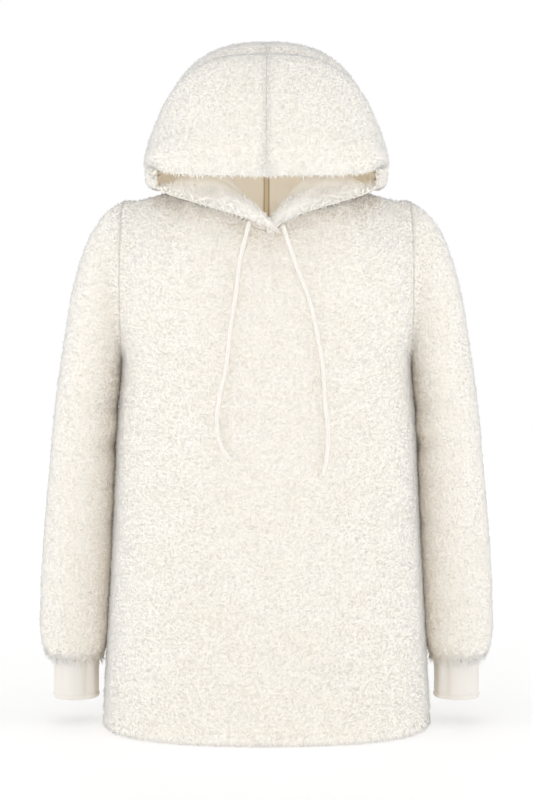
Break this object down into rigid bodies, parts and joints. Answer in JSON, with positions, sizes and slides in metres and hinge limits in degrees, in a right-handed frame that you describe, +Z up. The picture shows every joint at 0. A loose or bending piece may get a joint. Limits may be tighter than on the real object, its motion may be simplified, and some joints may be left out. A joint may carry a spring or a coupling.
{
  "type": "hooded sherpa fleece pullover, filled out as worn",
  "caption": "Hooded pile-fleece pullover held out hollow as if worn, with set-in sleeves, smooth fitted cuffs, a long straight body and a drawcord at the hood.",
  "frame": {"origin": "midway between the two points where the shoulder seams meet the neck seam, where the wearer's shoulders and neck carry the garment", "axes": "+Z up along the garment's length, -Y towards its front, +X towards the right of a viewer who faces its front"},
  "size_m": [0.6154, 0.3027, 0.9232],
  "materials": {
    "sherpa_fleece": "cream curled pile, matt",
    "cuff_cloth": "smooth matt knit, cream",
    "seam_tape": "flat woven tape",
    "drawcord": "round braided cord"
  },
  "bodies": {
    "root": {"front_body": "sherpa_fleece", "back_body": "sherpa_fleece", "sleeve_left": "sherpa_fleece", "sleeve_right": "sherpa_fleece", "cuff_left": "cuff_cloth", "cuff_right": "cuff_cloth", "hood_left": "sherpa_fleece", "hood_right": "sherpa_fleece", "hood_seam_tape": "seam_tape", "drawcord_left": "drawcord", "drawcord_right": "drawcord"}
  },
  "joints": []
}
